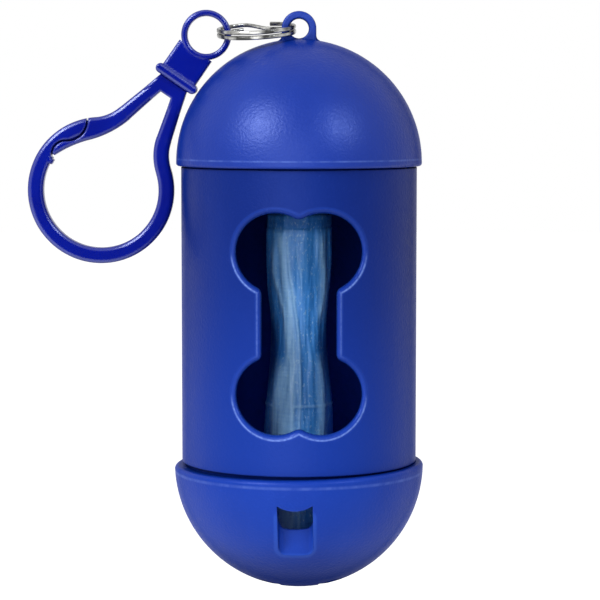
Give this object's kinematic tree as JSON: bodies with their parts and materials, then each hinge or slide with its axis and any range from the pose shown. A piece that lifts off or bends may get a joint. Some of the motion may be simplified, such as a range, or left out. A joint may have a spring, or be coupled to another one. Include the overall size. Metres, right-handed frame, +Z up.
{
  "type": "dog poop bag dispenser",
  "caption": "Capsule-shaped dispenser for a roll of dog waste bags, with a window in its tube, push-fit caps, an outlet in its foot, and a snap hook on a split ring to clip it to a leash.",
  "frame": {"origin": "centre of the hanging loop's hole on top of the case", "axes": "+Z up along the case's axis, -Y towards the window, -X towards the snap hook; units metres"},
  "size_m": [0.0634, 0.04, 0.0925],
  "materials": {
    "case_plastic": "fine matte grain",
    "clasp_plastic": "smooth, moulded gloss",
    "ring_steel": "bright drawn wire",
    "bag_film": "thin wrinkled film, satin",
    "core_card": "plain"
  },
  "bodies": {
    "top": {"top_cap": "case_plastic"},
    "middle": {"tube": "case_plastic"},
    "foot": {"bottom_cap": "case_plastic"},
    "roll": {"roll_core": "core_card", "bag_roll": "bag_film", "outer_bag": "bag_film", "bag_tail": "bag_film"},
    "ring": {"split_ring": "ring_steel"},
    "eye": {"clasp_eye": "clasp_plastic"},
    "hook": {"clasp_hook": "clasp_plastic"},
    "gate": {"clasp_gate": "clasp_plastic"}
  },
  "joints": [
    {"name": "top_pull", "type": "slide", "parent": "top", "child": "middle", "axis": [0, 0, -1], "range_m": [0, 0.008]},
    {"name": "foot_pull", "type": "slide", "parent": "middle", "child": "foot", "axis": [0, 0, -1], "range_m": [0, 0.012]},
    {"name": "roll_spin", "type": "hinge", "parent": "foot", "child": "roll", "pos_m": [0, 0, -0.06], "axis": [0, 0, 1], "continuous": true},
    {"name": "ring_swing", "type": "hinge", "parent": "top", "child": "ring", "pos_m": [0, 0, 0], "axis": [0, 1, 0], "range_deg": [0, 180]},
    {"name": "eye_swing", "type": "hinge", "parent": "ring", "child": "eye", "pos_m": [-0.01274, 0, -0.00067], "axis": [0, 1, 0], "range_deg": [0, 100]},
    {"name": "hook_swivel", "type": "hinge", "parent": "eye", "child": "hook", "pos_m": [-0.01475, 0, -0.00102], "axis": [0.5652, 0, 0.825], "continuous": true},
    {"name": "gate_flex", "type": "hinge", "parent": "hook", "child": "gate", "pos_m": [-0.02236, 0, -0.00884], "axis": [0, -1, 0], "range_deg": [0, 18], "stiffness_Nm_per_rad": 0.2}
  ]
}
